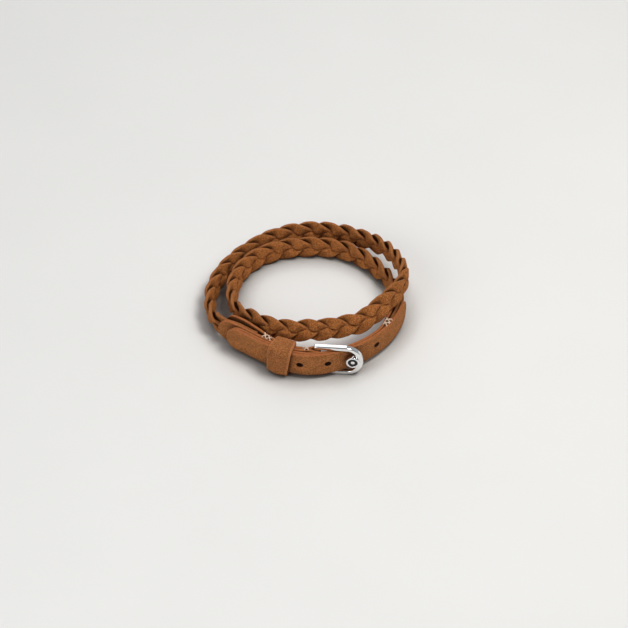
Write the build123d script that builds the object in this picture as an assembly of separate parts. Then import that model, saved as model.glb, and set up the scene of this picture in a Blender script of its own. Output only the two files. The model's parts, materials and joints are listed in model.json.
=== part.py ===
from build123d import *
import math
import os

os.makedirs("parts", exist_ok=True)

# A double-wrap bracelet: a flat three-strand braid whose ends are stitched between
# the two plies of a buckle strap and of a strap with holes. It lies closed on a flat
# surface, so leather widths stand upright. +Z is up, the wrist axis is the Z axis,
# and the buckle faces -Y. Angles run anticlockwise from +X, in degrees; a band that
# goes round twice keeps counting down past -180. At export everything moves by
# MIDDLE_SHIFT, which puts the origin in the middle of the floor that it covers.

# ---- driving dimensions, millimetres ----
MIDDLE_SHIFT = (0.02, -2.4, 0.0)

STRAP_HEIGHT = 9.1
STRAP_BOTTOM = 1.7
LEATHER = 1.0
PLY_GAP = 0.05

BRAID_REACH = 2.2
BRAID_DEPTH = 1.1
BRAID_CREST = 6.85
LACE_WIDTH = 2.3
LACE_THICKNESS = 1.0
LACE_ROLL = 40.0
LACE_END_WIDTH = 2.2
LANE_SPACING = 2.75
LANE_LENGTH = 17.2
LANE_EASE = 5.0

HOLE_LENGTH = 2.25
HOLE_HEIGHT = 1.7
HOLE_FIRST = -43.7
HOLE_PITCH = -16.7
HOLE_COUNT = 5
TIP_ANGLE = -146.0
HOLE_STRAP_START = -6.5

FRAME_HEIGHT = 12.5
FRAME_ARM = 1.5
FRAME_END_WIDTH = 2.0
FRAME_THICKNESS = 1.9
FRAME_TAIL = 1.0
FRAME_SQUARE = 0.8
FRAME_RIGHT = 19.4
FRAME_TILT = -4.5
FRAME_EASED = 0.3
BOSS_RADIUS = 2.3
BOSS_PROUD = 0.5
BOSS_LENGTH = 1.4
BOSS_X = 15.9
INLAY_RADIUS = 1.65
DOT_RADIUS = 0.7
INLAY_DEPTH = 0.45
INLAY_FIT = 0.03

BAR_X = 3.6
BAR_Y = -29.5
BAR_RADIUS = 0.7
BAR_CLEARANCE = 0.05
BAR_SEAT = 1.0
FOLD_LEATHER = 0.65

TONGUE_HEIGHT = 1.1
TONGUE_WIDTH = 0.8
TONGUE_EYE_RADIUS = 1.2
TONGUE_PIN_X = 15.8
TONGUE_PIN_WIDTH = 0.7
TONGUE_TIP_Y = -29.9
TONGUE_ELBOW_Y = -26.2
SLOT_HEIGHT = 1.9

KEEPER_AXIS = (5.3, -0.2)
KEEPER_FROM = -122.8
KEEPER_TO = -109.9
KEEPER_INNER = 28.6
KEEPER_OUTER = 33.8
KEEPER_BOTTOM = 1.35
KEEPER_TOP = 11.15
KEEPER_LEATHER = 0.95
KEEPER_ROUND = 0.9

THREAD_RADIUS = 0.15
THREAD_LIFT = 0.22
NEEDLE_RADIUS = 0.26
STITCH_PITCH = 1.9
STITCH_HALF = 0.65
STITCH_SINK = 0.9

STRAP_MIDDLE = STRAP_BOTTOM + STRAP_HEIGHT / 2
STRAP_TOP = STRAP_BOTTOM + STRAP_HEIGHT
FRAME_MIDDLE = FRAME_HEIGHT / 2
BOSS_FRONT = -FRAME_THICKNESS / 2 - BOSS_PROUD

# Stations of each ply: (angle, radius of its wrist-side face).
HOLE_OUTER = [(-146, 32.1), (-135, 30.2), (-122, 29.75), (-112, 30.25), (-100, 31.35),
              (-92, 32.0), (-84, 32.2), (-70, 32.0), (-60, 32.0), (-45, 32.3), (-36, 32.55),
              (-27, 32.8), (-15, 33.3), (0, 33.9)]
HOLE_LINING = [(-146, 31.0), (-135, 29.13), (-122, 28.68), (-112, 29.18), (-100, 30.28),
               (-92, 30.93), (-84, 31.13), (-70, 30.93), (-60, 30.93), (-45, 31.2),
               (-36, 31.25), (-27, 30.45), (-15, 30.2), (0, 30.1)]
BUCKLE_OUTER = [(-154, 33.0), (-149, 30.7), (-143, 29.0), (-135, 28.0), (-122, 27.55),
                (-112, 28.05), (-104, 28.8), (-98, 29.3), (-92, 29.5), (-85, 29.55)]
BUCKLE_LINING = [(-157, 28.9), (-150, 27.0), (-143, 25.6), (-135, 25.1), (-127, 25.2),
                 (-119, 26.0), (-112, 26.95), (-104, 27.7), (-98, 28.2), (-92, 28.43),
                 (-85, 28.48)]
BUCKLE_OUTER_END = -154.0
BUCKLE_LINING_END = -157.0
FOLD_END = -92.0
FOLD_START = -88.0
HOLE_STITCH = -31.0
BUCKLE_STITCH = -119.2
FOLD_STITCH = -90.0

# Stations of the braid's centre line, in path order: (angle, radius, height of the centre,
# lean of the braid's top edge towards the wrist in degrees).
BRAID = [(232, 26.95, STRAP_MIDDLE, 0), (220, 27.9, STRAP_MIDDLE, 0),
         (213, 29.3, STRAP_MIDDLE, 0), (206, 31.6, 6.0, 0), (195, 33.2, 5.0, 0),
         (180, 33.6, 4.3, 0), (135, 33.4, 3.6, 0), (112, 34.9, 3.6, 0), (90, 36.3, 3.6, 0),
         (60, 36.4, 6.0, 0), (40, 35.6, 8.9, 0), (20, 34.3, 12.2, 0), (0, 33.4, 15.3, 4),
         (-16, 30.6, 15.5, 18), (-29, 28.0, 14.1, 30), (-42, 26.2, 12.4, 38),
         (-60, 22.9, 11.6, 35), (-85, 20.9, 11.2, 30), (-110, 21.2, 10.3, 25),
         (-145, 22.9, 8.9, 20), (-165, 24.1, 6.6, 20), (-190, 25.3, 4.7, 15),
         (-225, 27.6, 3.6, 5), (-270, 27.8, 3.6, 0), (-300, 29.2, 3.6, 0), (-330, 30.2, 3.6, 0),
         (-346, 31.2, 4.8, 0), (-360, 32.3, 5.8, 0), (-374, 32.3, STRAP_MIDDLE, 0),
         (-387, 32.2, STRAP_MIDDLE, 0)]


def polar(radius, angle, height=0.0):
    """Point at a radius and angle about the wrist axis."""
    turn = math.radians(angle)
    return Vector(radius * math.cos(turn), radius * math.sin(turn), height)


def glide(stations, place, column=1):
    """Smooth value at a place, on a cubic through the stations either side of it."""
    last = len(stations) - 1
    index = 0
    rising = stations[last][0] > stations[0][0]
    while index < last - 1 and (stations[index + 1][0] < place) == rising:
        index += 1

    def slope(i):
        before = stations[max(i - 1, 0)]
        after = stations[min(i + 1, last)]
        return (after[column] - before[column]) / (after[0] - before[0])

    low = stations[index]
    high = stations[index + 1]
    span = high[0] - low[0]
    u = (place - low[0]) / span
    rise = u * u * (3 - 2 * u)
    return (low[column] * (1 - rise) + high[column] * rise
            + slope(index) * span * u * (1 - u) ** 2
            - slope(index + 1) * span * u * u * (1 - u))


def spread(start, end, step):
    """Evenly spaced values from start to end, about a step apart."""
    count = max(2, math.ceil(abs(end - start) / step))
    return [start + (end - start) * i / count for i in range(count + 1)]


# ---- leather plies ----
def ply_outline(stations, start, end):
    """Plan outline of one ply between two angles."""
    angles = spread(start, end, 3.0)
    inside = [polar(glide(stations, a), a) for a in angles]
    outside = [polar(glide(stations, a) + LEATHER, a) for a in angles]
    outline = Curve() + [Spline(*inside), Line(inside[-1], outside[-1]),
                         Spline(*outside[::-1]), Line(outside[0], inside[0])]
    return make_face(outline)


def upright(outline):
    """A plan outline raised to the height of the straps."""
    return extrude(Pos(0, 0, STRAP_BOTTOM) * outline, STRAP_HEIGHT)


def facing_out(radius, angle, height):
    """Plane on the strap, its Z outward, its X along the strap and its Y up."""
    turn = math.radians(angle)
    outward = Vector(math.cos(turn), math.sin(turn), 0)
    along = Vector(-math.sin(turn), math.cos(turn), 0)
    return Plane(origin=polar(radius, angle, height), x_dir=along, z_dir=outward)


def buckle_holes():
    """The row of oval holes, as one cutter for both plies."""
    cutters = []
    for index in range(HOLE_COUNT):
        angle = HOLE_FIRST + HOLE_PITCH * index
        oval = Ellipse(HOLE_LENGTH / 2, HOLE_HEIGHT / 2)
        plane = facing_out(glide(HOLE_OUTER, angle), angle, STRAP_MIDDLE)
        cutters.append(plane * extrude(oval, 3 * LEATHER, both=True))
    return cutters


def end_cutter(stations, angle, way):
    """What rounds one end of a ply; way is 1 where the ply runs on anticlockwise."""
    half = STRAP_HEIGHT / 2
    radius = glide(stations, angle)
    centre_angle = angle + way * math.degrees(half / radius)
    blank = Pos(-way * half, 0, 0) * Box(2 * half, 3 * half, 12 * LEATHER)
    round_end = Cylinder(half, 13 * LEATHER)
    return facing_out(radius, centre_angle, STRAP_MIDDLE) * (blank - round_end)


def needle_holes(stations, angles):
    """Needle holes down into the top edge of one ply."""
    cutters = []
    for angle in angles:
        place = polar(glide(stations, angle) + LEATHER / 2, angle, STRAP_TOP)
        cutters.append(Pos(*place) * Cylinder(NEEDLE_RADIUS, 2 * STITCH_SINK))
    return cutters


def stitch_angles(centre, crosses):
    """Angles of the needle holes of a row of crosses."""
    radius = glide(HOLE_OUTER, centre)
    pitch = math.degrees(STITCH_PITCH / radius)
    half = math.degrees(STITCH_HALF / radius)
    middles = [centre + pitch * (i - (crosses - 1) / 2) for i in range(crosses)]
    return [middle + side * half for middle in middles for side in (-1, 1)]


def hole_strap_ply(stations):
    """One ply of the strap with holes: straight sided, with rounded ends."""
    ply = upright(ply_outline(stations, TIP_ANGLE, HOLE_STRAP_START))
    ends = end_cutter(stations, TIP_ANGLE, 1) + end_cutter(stations, HOLE_STRAP_START, -1)
    return ply - buckle_holes() - ends - needle_holes(stations, stitch_angles(HOLE_STITCH, 2))


def teardrop(radius, point):
    """A disc about the buckle bar joined by its two tangents to a point."""
    centre = Vector(BAR_X, BAR_Y)
    reach = centre - point
    lean = math.degrees(math.acos(radius / reach.length))
    back = math.degrees(math.atan2(-reach.Y, -reach.X))
    touches = []
    for side in (-1, 1):
        turn = math.radians(back + side * lean)
        touches.append(centre + Vector(math.cos(turn), math.sin(turn)) * radius)
    wedge = make_face(Polyline(point, touches[0], touches[1], close=True))
    return wedge + Pos(BAR_X, BAR_Y) * Circle(radius)


def fold_outline():
    """Plan outline of the outer ply where it folds round the bar and doubles back."""
    wrap_radius = BAR_RADIUS + BAR_CLEARANCE + FOLD_LEATHER
    outer_corner = polar(glide(BUCKLE_OUTER, FOLD_START) + LEATHER, FOLD_START)
    inner_corner = polar(glide(BUCKLE_LINING, FOLD_START), FOLD_START)
    flank = make_face(Polyline(outer_corner, (BAR_X, BAR_Y - wrap_radius),
                               (BAR_X, BAR_Y + wrap_radius), inner_corner, close=True))
    pinch = polar(glide(BUCKLE_OUTER, FOLD_START) - PLY_GAP / 2, FOLD_START - 1.0)
    cavity = teardrop(BAR_RADIUS + BAR_CLEARANCE, pinch)
    return flank + Pos(BAR_X, BAR_Y) * Circle(wrap_radius) - cavity


def buckle_strap_outer():
    """Outer ply of the buckle strap, folded round the bar, with a slot for the tongue."""
    run = ply_outline(BUCKLE_OUTER, BUCKLE_OUTER_END, FOLD_START)
    turned_back = ply_outline(BUCKLE_LINING, FOLD_END, FOLD_START)
    strip = upright(run) + upright(fold_outline()) + upright(turned_back)
    slot_length = 2 * TONGUE_EYE_RADIUS + 0.6
    slot = Pos(BAR_X + 0.4, BAR_Y, STRAP_MIDDLE) * Box(slot_length, 6 * LEATHER, SLOT_HEIGHT)
    fold_stitches = stitch_angles(FOLD_STITCH, 1)
    stitches = stitch_angles(BUCKLE_STITCH, 2) + fold_stitches
    return (strip - slot - end_cutter(BUCKLE_OUTER, BUCKLE_OUTER_END, 1)
            - needle_holes(BUCKLE_OUTER, stitches) - needle_holes(BUCKLE_LINING, fold_stitches))


def buckle_strap_lining():
    """Wrist-side ply of the buckle strap, from the turned-back end to the braid."""
    lining = upright(ply_outline(BUCKLE_LINING, BUCKLE_LINING_END, FOLD_END - 0.3))
    return (lining - end_cutter(BUCKLE_LINING, BUCKLE_LINING_END, 1)
            - needle_holes(BUCKLE_LINING, stitch_angles(BUCKLE_STITCH, 2)))


# ---- braid ----
def braid_line():
    """Finely spaced centre points of the braid with the length run to each."""
    points = []
    length = 0.0
    for angle in spread(BRAID[0][0], BRAID[-1][0], 0.5):
        point = polar(glide(BRAID, angle), angle, glide(BRAID, angle, 2))
        if points:
            length += (point - points[-1][1]).length
        points.append((length, point, angle))
    return points


def along_line(line, length):
    """Point and angle of the braid's centre line at a run length."""
    step = line[-1][0] / (len(line) - 1)
    index = min(int(length / step), len(line) - 2)
    while index > 0 and line[index][0] > length:
        index -= 1
    while index < len(line) - 2 and line[index + 1][0] < length:
        index += 1
    low = line[index]
    high = line[index + 1]
    part = (length - low[0]) / (high[0] - low[0])
    return low[1] + (high[1] - low[1]) * part, low[2] + (high[2] - low[2]) * part


def ease(value):
    """Smooth step from 0 to 1."""
    value = min(max(value, 0.0), 1.0)
    return value * value * (3 - 2 * value)


def lace_section(line, length, strand):
    """Rectangular section of one lace where it crosses the braid at a run length."""
    total = line[-1][0]
    plaited = total - 2 * LANE_LENGTH
    turns = round(plaited / BRAID_CREST)
    inside = min(max(length - LANE_LENGTH, 0.0), plaited)
    phase = 2 * math.pi * (inside / plaited * turns / 3 + strand / 3)
    reach = BRAID_REACH * math.sin(phase)
    depth = BRAID_DEPTH * math.sin(2 * phase)
    roll = LACE_ROLL * math.cos(phase) * math.cos(2 * phase)
    beyond = max(LANE_LENGTH - length, length - LANE_LENGTH - plaited, 0.0)
    lane = LANE_SPACING * round(math.sin(phase))
    out = ease(beyond / LANE_EASE)
    reach += (lane - reach) * ease(2.0 * beyond / LANE_EASE)
    depth *= 1 - out
    roll *= 1 - out
    width = LACE_WIDTH + (LACE_END_WIDTH - LACE_WIDTH) * ease(2.0 * beyond / LANE_EASE)
    centre, angle = along_line(line, length)
    ahead, _ = along_line(line, min(length + 0.5, total))
    behind, _ = along_line(line, max(length - 0.5, 0.0))
    run = (ahead - behind).normalized()
    outward = Vector(run.Y, -run.X, 0).normalized()
    if outward.dot(polar(1, angle)) < 0:
        outward = -outward
    lean = math.radians(glide(BRAID, angle, 3))
    up = Vector(0, 0, 1) * math.cos(lean) - outward * math.sin(lean)
    outward = outward * math.cos(lean) + Vector(0, 0, 1) * math.sin(lean)
    tilt = math.radians(roll)
    wide = up * math.cos(tilt) + outward * math.sin(tilt)
    thick = outward * math.cos(tilt) - up * math.sin(tilt)
    middle = centre + up * reach + outward * depth
    corners = [middle + wide * (a * width / 2) + thick * (b * LACE_THICKNESS / 2)
               for a, b in ((-1, -1), (1, -1), (1, 1), (-1, 1))]
    return Wire.make_polygon(corners, close=True)


def braid_strand(line, strand):
    """One suede lace of the braid, from strap to strap."""
    sections = [lace_section(line, length, strand)
                for length in spread(0.0, line[-1][0], BRAID_CREST / 4)]
    return Solid.make_loft(sections, ruled=True)


# ---- keeper ----
def keeper_loop():
    """Leather loop that holds the free end of the strap against the buckle strap."""
    wide = KEEPER_OUTER - KEEPER_INNER
    tall = KEEPER_TOP - KEEPER_BOTTOM
    outer = RectangleRounded(wide + 2 * KEEPER_LEATHER, tall + 2 * KEEPER_LEATHER,
                             KEEPER_ROUND + 0.5)
    ring = outer - RectangleRounded(wide, tall, KEEPER_ROUND - 0.5)
    centre = ((KEEPER_OUTER + KEEPER_INNER) / 2, 0, (KEEPER_TOP + KEEPER_BOTTOM) / 2)
    profile = Pos(*centre) * (Rot(90, 0, 0) * ring)
    loop = revolve(profile, Axis.Z, KEEPER_TO - KEEPER_FROM)
    return Pos(*KEEPER_AXIS) * (Rot(0, 0, KEEPER_FROM) * loop)


# ---- buckle ----
def frame_plane():
    """Plane of the buckle frame: X along the strap, Y up, Z towards the wrist."""
    return Pos(BAR_X, BAR_Y, 0) * Rot(0, 0, FRAME_TILT)


def buckle_frame():
    """Horseshoe frame with a blind hole for the bar in each arm and a round boss."""
    half = FRAME_HEIGHT / 2
    bend = FRAME_RIGHT - BAR_X - half
    outline = Pos((bend - FRAME_TAIL) / 2, 0) * Rectangle(bend + FRAME_TAIL, FRAME_HEIGHT)
    outline += Pos(bend, 0) * Circle(half)
    clear_tall = half - FRAME_ARM
    clear_long = half - FRAME_END_WIDTH
    corner = bend + FRAME_SQUARE
    clear = Pos(corner / 2 - FRAME_TAIL, 0) * Rectangle(corner + 2 * FRAME_TAIL, 2 * clear_tall)
    clear += Pos(corner, 0) * Ellipse(clear_long - FRAME_SQUARE, clear_tall)
    plate = extrude(outline - clear, FRAME_THICKNESS / 2, both=True)
    plate = fillet(plate.edges().filter_by(GeomType.CIRCLE), FRAME_EASED)
    upright_plate = Pos(0, 0, FRAME_MIDDLE) * (Rot(90, 0, 0) * plate)
    boss = Pos(BOSS_X - BAR_X, BOSS_FRONT + BOSS_LENGTH / 2, FRAME_MIDDLE)
    boss *= Rot(90, 0, 0) * Cylinder(BOSS_RADIUS, BOSS_LENGTH)
    seat = Pos(BOSS_X - BAR_X, BOSS_FRONT, FRAME_MIDDLE)
    seat *= Rot(90, 0, 0) * Cylinder(INLAY_RADIUS, 2 * INLAY_DEPTH)
    bore = Pos(0, 0, FRAME_MIDDLE)
    bore *= Cylinder(BAR_RADIUS + BAR_CLEARANCE, 2 * (clear_tall + BAR_SEAT + BAR_CLEARANCE))
    return frame_plane() * (upright_plate + boss - seat - bore)


def boss_ring(outer, inner):
    """A ring or dot set flush in the boss."""
    disc = Cylinder(outer, INLAY_DEPTH - INLAY_FIT)
    if inner > 0:
        disc -= Cylinder(inner, 2 * INLAY_DEPTH)
    middle = BOSS_FRONT + (INLAY_DEPTH - INLAY_FIT) / 2
    return frame_plane() * (Pos(BOSS_X - BAR_X, middle, FRAME_MIDDLE) * (Rot(90, 0, 0) * disc))


def buckle_bar():
    """Pin through the leather fold, seated in a blind hole of each arm of the frame."""
    length = FRAME_HEIGHT - 2 * FRAME_ARM + 2 * BAR_SEAT
    return Pos(BAR_X, BAR_Y, FRAME_MIDDLE) * Cylinder(BAR_RADIUS, length)


def buckle_tongue():
    """Tongue on the bar: it runs behind the strap and its tip turns out through a hole."""
    eye = Pos(BAR_X, BAR_Y) * Circle(TONGUE_EYE_RADIUS)
    half = TONGUE_WIDTH / 2
    pin_half = TONGUE_PIN_WIDTH / 2
    shank = make_face(Polyline((BAR_X, BAR_Y - half), (BAR_X, BAR_Y + half + 0.4),
                               (TONGUE_PIN_X - 1.0, TONGUE_ELBOW_Y + half),
                               (TONGUE_PIN_X + pin_half, TONGUE_ELBOW_Y),
                               (TONGUE_PIN_X + pin_half, TONGUE_TIP_Y),
                               (TONGUE_PIN_X - pin_half, TONGUE_TIP_Y),
                               (TONGUE_PIN_X - pin_half, TONGUE_ELBOW_Y - half),
                               close=True))
    outline = shank + eye - Pos(BAR_X, BAR_Y) * Circle(BAR_RADIUS + BAR_CLEARANCE)
    return extrude(Pos(0, 0, STRAP_MIDDLE) * outline, TONGUE_HEIGHT / 2, both=True)


# ---- thread ----
def thread_over_edges(outer, inner, from_angle, to_angle, lift):
    """Thread up out of one ply's top edge, across, and down into the other ply's."""
    leave = glide(outer, from_angle) + LEATHER / 2
    enter = glide(inner, to_angle) + LEATHER / 2
    deep = STRAP_TOP - STITCH_SINK + THREAD_RADIUS
    path = Polyline(polar(leave, from_angle, deep), polar(leave, from_angle, STRAP_TOP + lift),
                    polar(enter, to_angle, STRAP_TOP + lift), polar(enter, to_angle, deep))
    section = Pos(*(path @ 0)) * Circle(THREAD_RADIUS)
    return sweep(section, path=path, transition=Transition.RIGHT)


def cross_stitches(outer, inner, centre, crosses):
    """Crossed threads over the top edges of a pair of plies."""
    angles = stitch_angles(centre, crosses)
    threads = []
    for left, right in zip(angles[0::2], angles[1::2]):
        above = THREAD_LIFT + 2.2 * THREAD_RADIUS
        threads.append(thread_over_edges(outer, inner, left, right, THREAD_LIFT))
        threads.append(thread_over_edges(outer, inner, right, left, above))
    return Compound(children=threads)


def build():
    """Every sub-part by its node name."""
    parts = {}
    parts["hole_strap_outer"] = hole_strap_ply(HOLE_OUTER)
    parts["hole_strap_lining"] = hole_strap_ply(HOLE_LINING)
    parts["buckle_strap_outer"] = buckle_strap_outer()
    parts["buckle_strap_lining"] = buckle_strap_lining()
    line = braid_line()
    for strand in range(3):
        parts[f"braid_strand_{strand + 1}"] = braid_strand(line, strand)
    parts["keeper_loop"] = keeper_loop()
    parts["buckle_frame"] = buckle_frame()
    parts["boss_inlay"] = boss_ring(INLAY_RADIUS - INLAY_FIT, DOT_RADIUS + INLAY_FIT)
    parts["boss_dot"] = boss_ring(DOT_RADIUS, 0)
    parts["buckle_bar"] = buckle_bar()
    parts["buckle_tongue"] = buckle_tongue()
    parts["hole_strap_stitches"] = cross_stitches(HOLE_OUTER, HOLE_LINING, HOLE_STITCH, 2)
    parts["braid_end_stitches"] = cross_stitches(BUCKLE_OUTER, BUCKLE_LINING, BUCKLE_STITCH, 2)
    parts["fold_stitches"] = cross_stitches(BUCKLE_OUTER, BUCKLE_LINING, FOLD_STITCH, 1)
    return parts


for name, shape in build().items():
    export_step(Pos(*MIDDLE_SHIFT) * shape, f"parts/{name}.step")
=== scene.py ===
import json
import math

import bpy
import numpy as np
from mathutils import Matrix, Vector
from mathutils.geometry import delaunay_2d_cdt


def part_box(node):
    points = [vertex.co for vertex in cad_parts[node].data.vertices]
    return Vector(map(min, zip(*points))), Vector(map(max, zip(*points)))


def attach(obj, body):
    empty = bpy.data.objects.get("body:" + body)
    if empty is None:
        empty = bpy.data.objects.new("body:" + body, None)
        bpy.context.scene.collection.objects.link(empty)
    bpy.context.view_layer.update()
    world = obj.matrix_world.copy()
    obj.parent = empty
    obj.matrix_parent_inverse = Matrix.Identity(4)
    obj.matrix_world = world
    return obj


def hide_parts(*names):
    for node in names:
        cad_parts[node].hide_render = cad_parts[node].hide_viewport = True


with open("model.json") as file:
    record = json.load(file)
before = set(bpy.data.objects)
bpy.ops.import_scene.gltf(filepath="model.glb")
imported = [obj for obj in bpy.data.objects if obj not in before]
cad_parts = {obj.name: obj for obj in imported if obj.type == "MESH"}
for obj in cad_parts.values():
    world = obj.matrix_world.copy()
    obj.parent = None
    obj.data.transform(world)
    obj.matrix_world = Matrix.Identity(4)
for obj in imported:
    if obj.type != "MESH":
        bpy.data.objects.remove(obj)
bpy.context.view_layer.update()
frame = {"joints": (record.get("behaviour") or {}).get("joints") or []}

# A double-wrap bracelet of plaited suede with a small steel buckle. Lengths below are in
# millimetres and become metres when a mesh is made. Angles are in degrees about the wrist
# axis, anticlockwise from +X. The straps follow the stations of the CAD model. The braid stays
# within about 1 mm of them, and leans further out at the back and at the left.
MM = 0.001
JOINTS = {joint["name"]: joint for joint in frame["joints"]}
KEEPER_AXIS = np.array(JOINTS["keeper_slide"]["pos_m"][:2]) / MM
BAR = np.array(JOINTS["frame_swing"]["pos_m"][:2]) / MM
WRIST = BAR - (3.6, -29.5)

STRAP_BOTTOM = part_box("hole_strap_outer")[0][2] / MM
STRAP_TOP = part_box("hole_strap_outer")[1][2] / MM
STRAP_HEIGHT = STRAP_TOP - STRAP_BOTTOM
STRAP_MIDDLE = (STRAP_TOP + STRAP_BOTTOM) / 2
LEATHER = 1.0
NAP = 0.04              # what the raised nap adds to a ply

HOLE_OUTER = [(-146, 32.1), (-135, 30.2), (-122, 29.75), (-112, 30.25), (-100, 31.35),
              (-92, 32.0), (-84, 32.2), (-70, 32.0), (-60, 32.0), (-45, 32.3), (-36, 32.55),
              (-27, 32.8), (-15, 33.3), (0, 33.9)]
HOLE_LINING = [(-146, 31.0), (-135, 29.13), (-122, 28.68), (-112, 29.18), (-100, 30.28),
               (-92, 30.93), (-84, 31.13), (-70, 30.93), (-60, 30.93), (-45, 31.2),
               (-36, 31.25), (-27, 30.45), (-15, 30.2), (0, 30.1)]
BUCKLE_OUTER = [(-154, 33.0), (-149, 30.7), (-143, 29.0), (-135, 28.0), (-122, 27.55),
                (-112, 28.05), (-104, 28.8), (-98, 29.3), (-92, 29.5), (-85, 29.55)]
BUCKLE_LINING = [(-157, 28.9), (-150, 27.0), (-143, 25.6), (-135, 25.1), (-127, 25.2),
                 (-119, 26.0), (-112, 26.95), (-104, 27.7), (-98, 28.2), (-92, 28.43),
                 (-85, 28.48)]
# Angle, radius and height of the braid's middle, and the lean of its top edge towards the wrist.
BRAID = [(232, 26.95, STRAP_MIDDLE, 0), (220, 27.9, STRAP_MIDDLE, 0),
         (213, 29.3, STRAP_MIDDLE, 0), (206, 31.5, 6.0, -3), (195, 33.0, 5.0, -8),
         (180, 33.3, 4.3, -11), (135, 32.8, 4.0, -11), (112, 34.3, 4.0, -10),
         (90, 36.1, 4.0, -9), (60, 35.7, 6.0, -6), (40, 35.1, 8.9, 0), (20, 34.0, 12.2, 0),
         (0, 33.4, 15.3, 4), (-16, 30.6, 15.5, 18), (-29, 28.0, 14.1, 32),
         (-42, 26.2, 12.4, 38), (-60, 22.9, 11.6, 35), (-85, 20.9, 11.2, 30),
         (-110, 21.2, 10.3, 25), (-145, 23.1, 8.9, 14), (-165, 24.9, 6.6, 0),
         (-190, 26.1, 5.0, -13), (-225, 28.0, 4.2, -14), (-270, 28.1, 4.1, -11),
         (-300, 29.4, 4.1, -10), (-330, 30.2, 4.0, -6), (-346, 31.2, 4.8, 0),
         (-360, 32.3, 5.8, 0), (-374, 32.3, STRAP_MIDDLE, 0), (-387, 32.2, STRAP_MIDDLE, 0)]

HOLE_STRAP_ENDS = (-146.0, -6.5)
BUCKLE_OUTER_END = -154.0
BUCKLE_LINING_END = -157.0
HOLE_FIRST = -43.7
HOLE_PITCH = -16.7
HOLE_COUNT = 5
HOLE_LENGTH = 2.15
HOLE_HEIGHT = 1.65
RUN_END = -89.0         # where the outer ply leaves the wrist's curve for the fold
BACK_START = -88.6      # where it comes back to that curve behind the bar
BACK_END = -92.0
LINING_GAP = 0.3        # degrees between the doubled-back end and the lining
FOLD_RADIUS = 1.09
FOLD_WRAP = 82.0
FOLD_LEATHER = 0.66
SKIVED_HALF = 2.4       # half the length of ply that is thinned for the fold
SLOT_LEAD = 5.0         # from the end of the run to the tongue's slot
SLOT_HALF = (2.6, 0.95)
FULL_ROUND = STRAP_HEIGHT / 2 - 0.25
TIP_ROUND = STRAP_HEIGHT / 2 - 0.45
CUT_ROUND = 0.4
HOLE_STITCH = -31.0
BUCKLE_STITCH = -119.2
FOLD_STITCH = -90.0
STITCH_PITCH = 1.9
STITCH_HALF = 0.75
STITCH_SINK = 0.75
STITCH_LIFTS = (0.22, 0.5)
THREAD_RADIUS = 0.15
TWIST_RADIUS = 0.11
TWIST_RATE = 4.2

BRAID_REACH = 1.95
BRAID_DEPTH = 1.1
BRAID_CREST = 6.85
BRAID_RINGS = 900
LACE_WIDTH = 3.85
LACE_THICKNESS = 1.3
LACE_ROLL = 34.0
LACE_CUP = 0.15
WIDTH_WAVER = 0.035
THICKNESS_WAVER = 0.05
LACE_ROUGHNESS = 0.025
LACE_SIDES = 32
LACE_ROUNDNESS = (0.45, 0.42)   # 1 is an ellipse and 0 a rectangle, across and through
LANE_SPACING = 2.75
LANE_LENGTH = 17.2
LANE_EASE = 5.0
LANE_WIDTH = 2.7
LANE_THICKNESS = 1.15

KEEPER_ENDS = (-122.3, -109.1)
KEEPER_INNER = 28.6
KEEPER_OUTER = 34.25
KEEPER_SKEW = 0.19
KEEPER_LEATHER = 0.95
KEEPER_CORNERS = (1.9, 1.5, 1.5, 1.7)
KEEPER_STEP = 0.35
KEEPER_UNEVEN = 0.05
KEEPER_RIM = 0.36
KEEPER_EDGE = 0.75      # how much of its thickness the strip keeps at the very edge
KEEPER_CROWN = 0.5
KEEPER_RIDGE = 0.14     # height of the burnished ridge beside each edge
RIDGE_PLACE = 0.4
RIDGE_WIDTH = 0.22
# Place and width of the lighter band beside each keeper edge: rubbed wear, and painted highlight
# on the ridges.
HIGHLIGHT_BAND_PLACE = 0.35
HIGHLIGHT_BAND_WIDTH = 0.3

FRAME_HEIGHT = 12.5
FRAME_MIDDLE = FRAME_HEIGHT / 2
FRAME_ARM = 1.5
FRAME_END_WIDTH = 2.0
FRAME_THICKNESS = 1.9
FRAME_TAIL = 1.0
FRAME_SQUARE = 0.8
FRAME_LENGTH = 15.8
FRAME_TILT = -4.5
FRAME_EASED = 0.42
BOSS_PLACE = 12.3
BOSS_RADIUS = 2.3
BOSS_PROUD = 0.5
BOSS_LENGTH = 1.4
BOSS_EASED = 0.13
RECESS_EASED = 0.12
INLAY_RADIUS = 1.65
INLAY_DEPTH = 0.45
INLAY_SUNK = 0.16
INLAY_SWELL = 0.08
DOT_SUNK = 0.10
DOT_DOME = 0.07
BAR_RADIUS = 0.7
BAR_EASED = 0.15
EYE_RADIUS = 1.2
EYE_EASED = 0.14
TONGUE_WIDTH = 0.78
TONGUE_TAPER = 0.1
TONGUE_REACH = 3.3      # from the bar to the far side of the tongue's elbow
TONGUE_EASED = 0.16
TONGUE_BLUNT = 0.35


# ---------------------------------------------------------------- curves

def glide(stations, places, column=1):
    """Smooth values at an array of places, on a cubic through the stations either side."""
    table = np.array(stations, float)
    if table[-1, 0] < table[0, 0]:
        table = table[::-1]
    x = table[:, 0]
    y = table[:, column]
    slope = np.empty(len(x))
    slope[1:-1] = (y[2:] - y[:-2]) / (x[2:] - x[:-2])
    slope[0] = (y[1] - y[0]) / (x[1] - x[0])
    slope[-1] = (y[-1] - y[-2]) / (x[-1] - x[-2])
    places = np.asarray(places, float)
    low = np.clip(np.searchsorted(x, places, side="right") - 1, 0, len(x) - 2)
    span = x[low + 1] - x[low]
    u = (places - x[low]) / span
    rise = u * u * (3 - 2 * u)
    return (y[low] * (1 - rise) + y[low + 1] * rise
            + slope[low] * span * u * (1 - u) ** 2
            - slope[low + 1] * span * u * u * (1 - u))


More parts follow.
